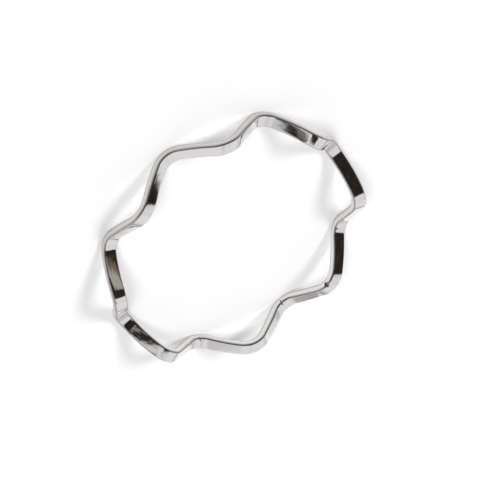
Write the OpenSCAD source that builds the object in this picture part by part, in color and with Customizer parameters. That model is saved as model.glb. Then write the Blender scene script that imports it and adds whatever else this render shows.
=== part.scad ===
// Wave spring: one closed turn of flat strip, bent into even waves round a ring.
// The ring's axis is the Z axis, and the spring lies on its lower crests at z = 0.

/* [Ring] */
// Clear diameter inside the ring
inner_d = 17; // [12:0.5:30]
// Width of the strip, measured along the ring's radius
strip_w = 0.96; // [0.6:0.02:2]
// Thickness of the strip, square to its wide faces
strip_t = 0.53; // [0.3:0.01:0.8]
// Radius of the strip's four long edges, which are rounded by rolling
edge_r = 0.17; // [0.05:0.01:0.2]

/* [Waves] */
// Full waves in one turn of the ring
wave_count = 8; // [5:1:10]
// Height over the crests with nothing pressing on the spring
free_h = 2.45; // [1.5:0.05:3]
// Radius on the inner side of each bend
bend_r = 1.2; // [0.5:0.05:2]

/* [Hidden] */
// Steps along half a bend, and along the straight slope between two bends
bend_steps = 6;
slope_steps = 4;
// Flats round each long edge of the strip
edge_steps = 2;
// Most of the strip's half thickness that a rounded edge may take up
edge_share = 0.8;
// Facets of the bore and of the outer wall
wall_fn = 256;
// Most of the room between two crests that their bends may take up
bend_share = 0.98;
// How far the tube that trims the strip stands past the crests
trim_over = 0.5;

inner_r = inner_d / 2;
outer_r = inner_r + strip_w;
mean_r = inner_r + strip_w / 2;

// Half a wave runs from one crest to the next, on the strip's middle surface
half_waves = 2 * wave_count;
half_wave_turn = 360 / half_waves;
half_wave_l = 2 * PI * mean_r / half_waves;
crest_rise = free_h - strip_t;

// Bends of the middle surface, kept small enough for a straight slope between them
largest_bend = (half_wave_l * half_wave_l + crest_rise * crest_rise) / (4 * crest_rise);
mid_bend_r = min(bend_r + strip_t / 2, bend_share * largest_bend);

// Angle of the straight slopes, from the triangle that joins the centres of two bends
centre_drop = 2 * mid_bend_r - crest_rise;
slope = asin(2 * mid_bend_r / norm([half_wave_l, centre_drop])) - atan2(centre_drop, half_wave_l);
bend_run = mid_bend_r * sin(slope);

// Height of the middle surface over its mean level, in a bend that has turned through angle a
function bend_height(a) = crest_rise / 2 - mid_bend_r * (1 - cos(a));

// Stations down half a wave, as [distance from the upper crest, height, slope angle]
half_wave = concat(
    [for (i = [0 : bend_steps]) let (a = slope * i / bend_steps)
        [mid_bend_r * sin(a), bend_height(a), -a]],
    [for (i = [1 : slope_steps - 1]) let (x = bend_run + (half_wave_l - 2 * bend_run) * i / slope_steps)
        [x, (half_wave_l / 2 - x) * tan(slope), -slope]],
    [for (i = [bend_steps : -1 : 1]) let (a = slope * i / bend_steps)
        [half_wave_l - mid_bend_r * sin(a), -bend_height(a), -a]]
);

// Stations round the whole ring, as [angle, height, slope angle]: every second half wave climbs
stations = [for (k = [0 : half_waves - 1], s = half_wave) let (up_or_down = k % 2 == 0 ? 1 : -1)
    [(k + s[0] / half_wave_l) * half_wave_turn, up_or_down * s[1], up_or_down * s[2]]];

// Upper half of the strip's section, from its outer side to its inner side, as [out from the middle, up].
// It is wider than the trimmed walls: the last flat of each edge runs on past the wall to a ridge.
corner_r = min(edge_r, edge_share * strip_t / 2);
ridge_over = (strip_t / 2 - corner_r) * tan(45 / edge_steps);
function edge_point(i) = let (a = 90 * i / edge_steps)
    [strip_w / 2 - corner_r * (1 - cos(a)), strip_t / 2 - corner_r * (1 - sin(a))];
half_section = concat(
    [[strip_w / 2 + ridge_over, 0]],
    [for (i = [1 : edge_steps]) edge_point(i)],
    [for (i = [edge_steps : -1 : 1]) [-edge_point(i)[0], edge_point(i)[1]]]
);

// The whole section, as [radius, height off the middle surface]: the lower half is the upper one turned
section = concat(
    [for (p = half_section) [mean_r + p[0], p[1]]],
    [for (p = half_section) [mean_r - p[0], -p[1]]]
);

// A point of the strip at a station. The slope is steeper nearer the axis, because the same rise
// takes a shorter way round there, and h is measured square to it.
function strip_point(station, r, h) =
    let (
        tilt = atan(tan(station[2]) * mean_r / r),
        angle = station[0] - h * sin(tilt) / r * 180 / PI
    )
    [r * cos(angle), r * sin(angle), free_h / 2 + station[1] + h * cos(tilt)];

// Place of a point in the list: station i, corner j of the section
function at(i, j) = (i % len(stations)) * len(section) + j % len(section);

// The waved strip before its walls are trimmed
module waved_strip() {
    polyhedron(
        points = [for (s = stations, corner = section) strip_point(s, corner[0], corner[1])],
        faces = [for (i = [0 : len(stations) - 1], j = [0 : len(section) - 1], half = [0, 1])
            half == 0
                ? [at(i, j), at(i, j + 1), at(i + 1, j + 1)]
                : [at(i, j), at(i + 1, j + 1), at(i + 1, j)]],
        convexity = 8
    );
}

// The tube that gives the ring its round bore and its round outer wall
module trim_tube() {
    translate([0, 0, -trim_over])
        rotate_extrude($fn = wall_fn)
            translate([inner_r, 0])
                square([strip_w, free_h + 2 * trim_over]);
}

module wave_ring() {
    color("silver")
        intersection() {
            waved_strip();
            trim_tube();
        }
}

wave_ring();
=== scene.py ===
"""Looks of the wave spring: a polished steel ring of waved flat strip on a pale floor."""

import math
from collections import namedtuple
from types import SimpleNamespace

import bmesh
import bpy
from mathutils import Matrix, Vector


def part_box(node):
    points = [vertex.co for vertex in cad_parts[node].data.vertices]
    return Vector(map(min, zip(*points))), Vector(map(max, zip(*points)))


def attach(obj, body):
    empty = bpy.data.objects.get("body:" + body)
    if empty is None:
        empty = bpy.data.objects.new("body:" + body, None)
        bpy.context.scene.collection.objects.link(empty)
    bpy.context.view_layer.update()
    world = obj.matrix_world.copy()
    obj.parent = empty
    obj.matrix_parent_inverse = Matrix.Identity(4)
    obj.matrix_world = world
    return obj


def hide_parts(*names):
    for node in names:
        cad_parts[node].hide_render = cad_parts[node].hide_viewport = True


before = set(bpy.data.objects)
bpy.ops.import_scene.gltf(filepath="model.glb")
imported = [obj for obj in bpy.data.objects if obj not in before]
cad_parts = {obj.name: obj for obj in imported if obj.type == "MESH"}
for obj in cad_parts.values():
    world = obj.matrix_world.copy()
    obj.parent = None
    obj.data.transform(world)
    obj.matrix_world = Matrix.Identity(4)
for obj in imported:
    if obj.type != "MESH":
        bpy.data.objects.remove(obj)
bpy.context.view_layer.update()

# The ring, in metres, as in the CAD source
WAVES = 8
STRIP_WIDTH = 0.00096
STRIP_THICKNESS = 0.00053
BEND_INNER_RADIUS = 0.0012
# How far the oval long edges reach across a wide face and down a wall
EDGE_ACROSS = 0.00012
EDGE_DOWN = 0.00025
# How much higher the wide faces are along their middle
CROWN = 0.000006

# Colour of the steel on its faces, and darker colours on its outer wall and round its edges that are
# painted shade: a painted darker reflection on the outer wall and painted dark lines along the edges
STEEL = (0.80, 0.79, 0.78, 1.0)
WALL_PAINTED_SHADE = (0.66, 0.65, 0.63, 1.0)
EDGE_PAINTED_SHADE = (0.46, 0.44, 0.41, 1.0)
# Roughness of the faces, from their glossiest to their dullest patches, how many patches there are
# to a metre, octaves of finer ones, and how much rougher the outer wall and the edges are
GLOSSY = 0.03
DULL = 0.10
GLOSS_PATCHES = 900.0
GLOSS_OCTAVES = 3.0
WALL_ROUGHER = 0.12
EDGE_ROUGHER = 0.42
# Rolling lines along the strip: how many across a metre and along a metre, octaves of finer ones,
# and their depth
LINES_ACROSS = 6000.0
LINES_ALONG = 220.0
LINE_OCTAVES = 2.0
LINE_DEPTH = 0.0000016
# Faint waves that polishing leaves: how many to a metre, octaves of finer ones, and their depth
WAVES_TO_METRE = 1200.0
WAVE_OCTAVES = 2.0
WAVE_DEPTH = 0.000012

# Marks in the inner upper edge: place in half waves round the ring, reach along the strip, reach
# round the edge, and depth. The first is a round pit, and the others are creases in tight bends.
DENTS = (
    (5.95, 0.00025, 0.00025, 0.00014),
    (4.97, 0.00014, 0.00032, 0.00010),
    (3.02, 0.00016, 0.00030, 0.00008),
    (6.98, 0.00012, 0.00028, 0.00008),
)

# Steps along half a bend, along a slope, across a wide face, up a wall and round an edge
BEND_STEPS = 24
SLOPE_STEPS = 18
FACE_STEPS = 8
WALL_STEPS = 2
EDGE_STEPS = 9

# Camera: where it stands round the ring and how far it is turned about its own view, in degrees,
# its distance and the nearest that it sees, in metres, and its lens and sensor, in millimetres
CAMERA_AZIMUTH = 23.16
CAMERA_ELEVATION = 43.45
CAMERA_ROLL = 140.4
CAMERA_DISTANCE = 0.1506
CAMERA_NEAREST = 0.001
CAMERA_LENS = 169.5
CAMERA_SENSOR = 36.0
# The ring stands this far left of and below the middle of the picture
RING_LEFT = 0.00036
RING_BELOW = 0.00011

# The floor's half length, its colour, and how much lighter the camera and the metal see it
FLOOR_REACH = 0.6
FLOOR_COLOUR = (0.8, 0.8, 0.8, 1.0)
FLOOR_LIFT = 0.22
# Colour of that lift, and of what the camera sees past the floor
WHITE = (1.0, 1.0, 1.0, 1.0)

# The white tent starts where a direction reaches this far along its side
TENT_SIDE = (0.115, 0.993, 0.0)
TENT_EDGE = 0.12
TENT_BLUR = 0.05
TENT_WHITE = (0.86, 0.86, 0.87, 1.0)
# Its folds: their colour, how fine they are, octaves of finer ones, and the noise that turns the
# tent as grey as a fold and the noise that leaves it white
TENT_FOLD = (0.66, 0.66, 0.67, 1.0)
FOLD_SCALE = 2.0
FOLD_OCTAVES = 1.0
FOLD_GREY = 0.3
FOLD_WHITE = 0.6
# Its rim is greyer too, up to this height of a direction
TENT_RIM = (0.40, 0.39, 0.38, 1.0)
TENT_RIM_TOP = 0.26
# The dim room behind the camera and the warmer clutter in it: how fine the clutter is, octaves of
# finer clutter, and the noise that leaves the room dim and the noise that turns it warm
DIM_ROOM = (0.020, 0.017, 0.014, 1.0)
WARM_ROOM = (0.060, 0.042, 0.027, 1.0)
CLUTTER_SCALE = 14.0
CLUTTER_OCTAVES = 4.0
CLUTTER_DIM = 0.45
CLUTTER_WARM = 0.75
# The room is lighter towards its floor, below this height of a direction
LOW_ROOM = (0.15, 0.13, 0.11, 1.0)
LOW_ROOM_TOP = 0.25
# Paler things in the room: azimuth, elevation, reach and blur in degrees, and colour
ROOM_PLACES = (
    (-48, 50, 1, 4, (0.20, 0.15, 0.10, 1.0)),
    (-41, 53, 1, 4.5, (0.42, 0.40, 0.37, 1.0)),
    (43, 61.5, 0, 3, (0.30, 0.30, 0.29, 1.0)),
    (72.5, 61, 2, 6.5, (0.72, 0.72, 0.72, 1.0)),
    (84, 68.5, 3, 2.5, (0.76, 0.76, 0.76, 1.0)),
    (101, 73, 3, 2, (0.80, 0.80, 0.80, 1.0)),
    (83, 55, 1, 2.5, (0.20, 0.185, 0.16, 1.0)),
)
# The tent is white down to its foot in one place and has a gap in its roof, given the same way
TENT_PLACES = (
    (-129, 0, 4, 6, TENT_WHITE),
    (-165, 65.5, 3.5, 1.5, DIM_ROOM),
    (-174, 73, 4.5, 1.5, DIM_ROOM),
    (170, 78, 5, 1.5, DIM_ROOM),
    (130, 81, 5.5, 1.5, DIM_ROOM),
)

# Far lamps: name, azimuth and elevation in degrees, and strength in watts a square metre
LAMPS = (
    ("left_lamp", -53, 46, 1.4),
    ("right_lamp", 45, 46, 1.4),
)
# How wide each lamp looks from the ring, which sets how soft its shadow is
LAMP_WIDTH = math.radians(20)

# A corner of the strip's section: its radius, its height off the middle surface, how far it is round
# an edge (1 where it faces 45 degrees), how much it faces outwards, and its place across the section
Corner = namedtuple("Corner", "r h edge outwards place")


def ring_sizes():
    """Sizes of the ring that follow from the CAD node and the strip's own sizes."""
    low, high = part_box("wave_ring")
    sizes = SimpleNamespace(outer_r=(high.x - low.x) / 2, free_h=high.z - low.z)
    sizes.inner_r = sizes.outer_r - STRIP_WIDTH
    sizes.mean_r = sizes.outer_r - STRIP_WIDTH / 2
    # Half a wave of the strip's middle surface: its length, its rise and the radius of its bends
    sizes.length = math.pi * sizes.mean_r / WAVES
    sizes.rise = sizes.free_h - STRIP_THICKNESS
    sizes.bend_r = BEND_INNER_RADIUS + STRIP_THICKNESS / 2
    # Angle of its straight slope, from the triangle that joins the centres of two bends
    drop = 2 * sizes.bend_r - sizes.rise
    reach = math.hypot(sizes.length, drop)
    sizes.slope = math.asin(2 * sizes.bend_r / reach) - math.atan2(drop, sizes.length)
    return sizes


def half_wave(sizes):
    """Stations from an upper crest down to the next lower one: (distance, height, slope angle)."""
    def bend(i):
        a = sizes.slope * i / BEND_STEPS
        return sizes.bend_r * math.sin(a), sizes.rise / 2 - sizes.bend_r * (1 - math.cos(a)), a

    run = sizes.bend_r * math.sin(sizes.slope)
    stations = [(x, z, -a) for x, z, a in map(bend, range(BEND_STEPS + 1))]
    for i in range(1, SLOPE_STEPS):
        x = run + (sizes.length - 2 * run) * i / SLOPE_STEPS
        stations.append((x, (sizes.length / 2 - x) * math.tan(sizes.slope), -sizes.slope))
    stations += [(sizes.length - x, -z, -a) for x, z, a in map(bend, range(BEND_STEPS, 0, -1))]
    return stations


def ring_stations(sizes):
    """Stations round the ring: (angle, height, slope angle), where every second half wave climbs."""
    turn = math.pi / WAVES
    stations = []
    for k in range(2 * WAVES):
        way = 1 if k % 2 == 0 else -1
        for x, z, a in half_wave(sizes):
            stations.append(((k + x / sizes.length) * turn, way * z, way * a))
    return stations


def strip_section(sizes):
    """Corners of the strip's section, anticlockwise with the outer wall on the right."""
    half_w = STRIP_WIDTH / 2
    half_t = STRIP_THICKNESS / 2
    flat_w = half_w - EDGE_ACROSS
    flat_t = half_t - EDGE_DOWN

    def corner(x, y, facing):
        """A corner whose surface faces this angle, lowered by the crown of the wide faces."""
        y *= 1 - CROWN / half_t * (x / half_w) ** 2
        outwards = max(0.0, math.cos(facing)) ** 2
        return Corner(sizes.mean_r + x, y, abs(math.sin(2 * facing)), outwards, (x, y, 0))

    corners = []
    for quarter, (sx, sy) in enumerate(((1, 1), (-1, 1), (-1, -1), (1, -1))):
        for i in range(EDGE_STEPS + 1):
            facing = (quarter + i / EDGE_STEPS) * math.pi / 2
            reach = math.hypot(EDGE_ACROSS * math.cos(facing), EDGE_DOWN * math.sin(facing))
            x = sx * flat_w + EDGE_ACROSS ** 2 * math.cos(facing) / reach
            y = sy * flat_t + EDGE_DOWN ** 2 * math.sin(facing) / reach
            corners.append(corner(x, y, facing))
        # The flat that follows an edge faces the way in which the edge ended
        on_face = quarter % 2 == 0
        steps = FACE_STEPS if on_face else WALL_STEPS
        for i in range(1, steps):
            share = 1 - 2 * i / steps
            if on_face:
                corners.append(corner(sx * share * flat_w, sy * half_t, facing))
            else:
                corners.append(corner(sx * half_w, sy * share * flat_t, facing))
    return corners


def strip_point(sizes, station, r, h):
    """A point of the strip: the slope is steeper nearer the axis, and h is square to it."""
    angle, z, slope = station
    tilt = math.atan(math.tan(slope) * sizes.mean_r / r)
    angle -= h * math.sin(tilt) / r
    return r * math.cos(angle), r * math.sin(angle), sizes.free_h / 2 + z + h * math.cos(tilt)


def edge_dents(sizes, stations):
    """Each mark as its middle, the way along the strip, the way in, its two reaches and its depth."""
    # A mark's middle lies on the oval edge, this share of the edge's reaches in from a sharp corner
    sunk = 1 - math.sqrt(0.5)
    r = sizes.inner_r + EDGE_ACROSS * sunk
    h = STRIP_THICKNESS / 2 - EDGE_DOWN * sunk
    dents = []
    for place, along, around, depth in DENTS:
        station = min(stations, key=lambda st: abs(st[0] - place * math.pi / WAVES))
        middle = Vector(strip_point(sizes, station, r, h))
        # The way in is at 45 degrees to the wide face
        inside = Vector(strip_point(sizes, station, r + EDGE_ACROSS, h - EDGE_ACROSS))
        tangent = Vector((-math.sin(station[0]), math.cos(station[0]), 0))
        dents.append((middle, tangent, (inside - middle).normalized(), along, around, depth))
    return dents


def dented(point, dents):
    """A point of the strip, pushed in where it lies within a mark."""
    point = Vector(point)
    for middle, tangent, inward, along, around, depth in dents:
        offset = point - middle
        if offset.length > max(along, around):
            continue
        run = offset.dot(tangent)
        share = (run / along) ** 2 + (offset - run * tangent).length_squared / around ** 2
        if share < 1:
            point += inward * depth * (1 - share) ** 2
    return point


def make_ring():
    """The waved strip with oval edges, fine enough for clean reflections."""
    sizes = ring_sizes()
    stations = ring_stations(sizes)
    section = strip_section(sizes)
    dents = edge_dents(sizes, stations)
    mesh = bpy.data.meshes.new("polished_wave_ring")
    built = bmesh.new()
    rows = []
    for station in stations:
        points = [dented(strip_point(sizes, station, corner.r, corner.h), dents) for corner in section]
        rows.append([built.verts.new(point) for point in points])
    for i, row in enumerate(rows):
        after = rows[(i + 1) % len(rows)]
        for j, vert in enumerate(row):
            k = (j + 1) % len(section)
            built.faces.new((vert, after[j], after[k], row[k]))
    bmesh.ops.recalc_face_normals(built, faces=built.faces)
    built.to_mesh(mesh)
    built.free()
    mesh.polygons.foreach_set("use_smooth", [True] * len(mesh.polygons))
    keep_layer(mesh, "edge", "FLOAT", "value", [corner.edge for corner in section] * len(rows))
    keep_layer(mesh, "outwards", "FLOAT", "value", [corner.outwards for corner in section] * len(rows))
    places = [number for corner in section for number in corner.place]
    keep_layer(mesh, "section", "FLOAT_VECTOR", "vector", places * len(rows))
    ring = bpy.data.objects.new("polished_wave_ring", mesh)
    bpy.context.scene.collection.objects.link(ring)
    return ring


def keep_layer(mesh, name, kind, field, values):
    """Keeps values at the mesh's points, under a name that the material reads."""
    mesh.attributes.new(name, kind, "POINT").data.foreach_set(field, values)


def node(tree, kind, **inputs):
    """A new shader node with its inputs set by name."""
    made = tree.nodes.new(kind)
    for name, value in inputs.items():
        made.inputs[name.replace("_", " ")].default_value = value
    return made


def mixed(tree, share, first, second):
    """A colour mix; first and second are sockets or colours."""
    mix = tree.nodes.new("ShaderNodeMix")
    mix.data_type = "RGBA"
    tree.links.new(share, mix.inputs["Factor"])
    for name, colour in (("A", first), ("B", second)):
        socket = next(i for i in mix.inputs if i.name == name and i.type == "RGBA")
        if isinstance(colour, bpy.types.NodeSocket):
            tree.links.new(colour, socket)
        else:
            socket.default_value = colour
    return next(o for o in mix.outputs if o.type == "RGBA")


def layer(tree, name, output="Fac"):
    """A value that the mesh holds at each of its points."""
    source = tree.nodes.new("ShaderNodeAttribute")
    source.attribute_name = name
    return source.outputs[output]


def noise(tree, place, scale, octaves):
    """Soft noise at a place, with octaves of finer noise in it."""
    made = node(tree, "ShaderNodeTexNoise", Scale=scale, Detail=octaves)
    tree.links.new(place, made.inputs["Vector"])
    return made.outputs["Fac"]


def scaled(tree, vector, scale, added=None):
    """A vector times a number, plus another vector."""
    product = tree.nodes.new("ShaderNodeVectorMath")
    product.operation = "MULTIPLY_ADD"
    product.inputs[1].default_value = (scale, scale, scale)
    tree.links.new(vector, product.inputs[0])
    if added:
        tree.links.new(added, product.inputs[2])
    return product.outputs["Vector"]


def bumped(tree, height, distance, below=None):
    """A normal that follows a height field of the given depth in metres, over another normal."""
    bump = node(tree, "ShaderNodeBump", Strength=1.0, Distance=distance)
    tree.links.new(height, bump.inputs["Height"])
    if below:
        tree.links.new(below, bump.inputs["Normal"])
    return bump.outputs["Normal"]


def raised(tree, value, share, amount):
    """A value that is higher by an amount where the share is 1."""
    sum_of = tree.nodes.new("ShaderNodeMath")
    sum_of.operation = "MULTIPLY_ADD"
    sum_of.inputs[1].default_value = amount
    tree.links.new(share, sum_of.inputs[0])
    tree.links.new(value, sum_of.inputs[2])
    return sum_of.outputs[0]


def polished_steel():
    """Mirror polished steel: uneven gloss, a rougher outer wall and rougher edges, with painted shade
    darkening both, waves and rolling lines.
    """
    material = bpy.data.materials.new("polished_steel")
    material.use_nodes = True
    tree = material.node_tree
    shader = tree.nodes["Principled BSDF"]
    shader.inputs["Metallic"].default_value = 1.0
    place = tree.nodes.new("ShaderNodeTexCoord").outputs["Object"]
    edge = layer(tree, "edge")
    outwards = layer(tree, "outwards")

    # The outer wall gets a darker colour than the faces: painted shade standing in for darker
    # reflections
    faces = mixed(tree, outwards, STEEL, WALL_PAINTED_SHADE)
    # The edges get a dark colour: painted dark lines standing in for dark reflections
    tree.links.new(mixed(tree, edge, faces, EDGE_PAINTED_SHADE), shader.inputs["Base Color"])

    spread = node(tree, "ShaderNodeMapRange", To_Min=GLOSSY, To_Max=DULL)
    tree.links.new(noise(tree, place, GLOSS_PATCHES, GLOSS_OCTAVES), spread.inputs["Value"])
    rough_walls = raised(tree, spread.outputs["Result"], outwards, WALL_ROUGHER)
    tree.links.new(raised(tree, rough_walls, edge, EDGE_ROUGHER), shader.inputs["Roughness"])

    waves = noise(tree, place, WAVES_TO_METRE, WAVE_OCTAVES)
    along = scaled(tree, place, LINES_ALONG)
    across = scaled(tree, layer(tree, "section", "Vector"), LINES_ACROSS, along)
    lines = noise(tree, across, 1.0, LINE_OCTAVES)
    uneven = bumped(tree, waves, WAVE_DEPTH)
    tree.links.new(bumped(tree, lines, LINE_DEPTH, uneven), shader.inputs["Normal"])
    return material


def towards(azimuth, elevation):
    """Unit vector from the ring towards a place round it, both angles in degrees."""
    a, e = math.radians(azimuth), math.radians(elevation)
    return Vector((math.sin(a) * math.cos(e), -math.cos(a) * math.cos(e), math.sin(e)))


def make_camera():
    """The camera looks down on the ring as the photograph does, turned about its view to match it."""
    a, roll = math.radians(CAMERA_AZIMUTH), math.radians(CAMERA_ROLL)
    back = towards(CAMERA_AZIMUTH, CAMERA_ELEVATION)
    level_right = Vector((math.cos(a), math.sin(a), 0))
    level_up = back.cross(level_right)
    right = level_right * math.cos(roll) + level_up * math.sin(roll)
    up = level_up * math.cos(roll) - level_right * math.sin(roll)
    low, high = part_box("wave_ring")
    place = (low + high) / 2 + back * CAMERA_DISTANCE + right * RING_LEFT + up * RING_BELOW
    data = bpy.data.cameras.new("camera")
    data.sensor_width = CAMERA_SENSOR
    data.lens = CAMERA_LENS
    data.clip_start = CAMERA_NEAREST
    camera = bpy.data.objects.new("camera", data)
    camera.matrix_world = Matrix.Translation(place) @ Matrix((right, up, back)).transposed().to_4x4()
    bpy.context.scene.collection.objects.link(camera)
    bpy.context.scene.camera = camera


def shown_to_camera_and_metal(tree):
    """1 for rays from the camera, from metal and through glass, and 0 for those that light a scene."""
    path = tree.nodes.new("ShaderNodeLightPath")
    shown = path.outputs["Is Camera Ray"]
    for kind in ("Is Glossy Ray", "Is Transmission Ray"):
        either = tree.nodes.new("ShaderNodeMath")
        either.operation = "MAXIMUM"
        tree.links.new(shown, either.inputs[0])
        tree.links.new(path.outputs[kind], either.inputs[1])
        shown = either.outputs[0]
    return shown


def make_floor():
    """A wide pale floor that shows white and keeps the ring's shadow."""
    mesh = bpy.data.meshes.new("floor")
    corners = [(-FLOOR_REACH, -FLOOR_REACH, 0), (FLOOR_REACH, -FLOOR_REACH, 0),
               (FLOOR_REACH, FLOOR_REACH, 0), (-FLOOR_REACH, FLOOR_REACH, 0)]
    mesh.from_pydata(corners, [], [(0, 1, 2, 3)])
    floor = bpy.data.objects.new("floor", mesh)
    bpy.context.scene.collection.objects.link(floor)
    material = bpy.data.materials.new("pale_floor")
    material.use_nodes = True
    tree = material.node_tree
    shader = tree.nodes["Principled BSDF"]
    shader.inputs["Base Color"].default_value = FLOOR_COLOUR
    shader.inputs["Roughness"].default_value = 1.0
    shader.inputs["Specular IOR Level"].default_value = 0.0
    shader.inputs["Emission Color"].default_value = WHITE
    lift = tree.nodes.new("ShaderNodeMath")
    lift.operation = "MULTIPLY"
    lift.inputs[1].default_value = FLOOR_LIFT
    tree.links.new(shown_to_camera_and_metal(tree), lift.inputs[0])
    tree.links.new(lift.outputs[0], shader.inputs["Emission Strength"])
    mesh.materials.append(material)


def share_of(tree, value, low, high):
    """0 below low and 1 above high, with a soft step between them."""
    step = node(tree, "ShaderNodeMapRange", From_Min=low, From_Max=high)
    step.interpolation_type = "SMOOTHSTEP"
    tree.links.new(value, step.inputs["Value"])
    return step.outputs["Result"]


def nearness(tree, direction, axis):
    """Cosine of the angle between the direction that is looked in and an axis."""
    dot = tree.nodes.new("ShaderNodeVectorMath")
    dot.operation = "DOT_PRODUCT"
    tree.links.new(direction, dot.inputs[0])
    dot.inputs[1].default_value = axis
    return dot.outputs["Value"]


def with_places(tree, direction, around, places):
    """The surroundings with round soft places of other colours in them."""
    for azimuth, elevation, reach, blur, colour in places:
        near = nearness(tree, direction, towards(azimuth, elevation))
        rim = math.cos(math.radians(reach + blur))
        inside = share_of(tree, near, rim, math.cos(math.radians(reach)))
        around = mixed(tree, inside, around, colour)
    return around


def room_colour(tree, direction, height):
    """The dim room, with warmer clutter, a lighter foot and paler things in it."""
    clutter = noise(tree, direction, CLUTTER_SCALE, CLUTTER_OCTAVES)
    room = mixed(tree, share_of(tree, clutter, CLUTTER_DIM, CLUTTER_WARM), DIM_ROOM, WARM_ROOM)
    room = mixed(tree, share_of(tree, height, 0.0, LOW_ROOM_TOP), LOW_ROOM, room)
    return with_places(tree, direction, room, ROOM_PLACES)


def tent_colour(tree, direction, height):
    """The white tent, with greyer folds, a greyer rim and a gap in its roof."""
    folds = noise(tree, direction, FOLD_SCALE, FOLD_OCTAVES)
    tent = mixed(tree, share_of(tree, folds, FOLD_GREY, FOLD_WHITE), TENT_FOLD, TENT_WHITE)
    tent = mixed(tree, share_of(tree, height, 0.0, TENT_RIM_TOP), TENT_RIM, tent)
    return with_places(tree, direction, tent, TENT_PLACES)


def make_world():
    """Metal shows a tent behind the ring and a dim room before it; the camera itself sees white."""
    world = bpy.data.worlds.new("studio")
    bpy.context.scene.world = world
    world.use_nodes = True
    tree = world.node_tree
    direction = tree.nodes.new("ShaderNodeTexCoord").outputs["Generated"]
    height = nearness(tree, direction, (0, 0, 1))
    along_side = nearness(tree, direction, TENT_SIDE)
    in_tent = share_of(tree, along_side, TENT_EDGE - TENT_BLUR, TENT_EDGE + TENT_BLUR)
    room = room_colour(tree, direction, height)
    around = mixed(tree, in_tent, room, tent_colour(tree, direction, height))

    path = tree.nodes.new("ShaderNodeLightPath")
    seen = mixed(tree, path.outputs["Is Camera Ray"], around, WHITE)
    tree.links.new(seen, tree.nodes["Background"].inputs["Color"])


def make_lamps():
    """Soft far lamps for the shadows; the metal shows the tent and the room instead of them."""
    for name, azimuth, elevation, strength in LAMPS:
        data = bpy.data.lights.new(name, "SUN")
        data.angle = LAMP_WIDTH
        data.energy = strength
        lamp = bpy.data.objects.new(name, data)
        lamp.rotation_euler = towards(azimuth, elevation).to_track_quat("Z", "Y").to_euler()
        lamp.visible_glossy = False
        bpy.context.scene.collection.objects.link(lamp)


def show_as_written():
    """Colours show as they are written."""
    bpy.context.scene.view_settings.view_transform = "Standard"


make_camera()
make_world()
make_floor()
make_lamps()
show_as_written()

ring = make_ring()
ring.data.materials.append(polished_steel())
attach(ring, "root")
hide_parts("wave_ring")
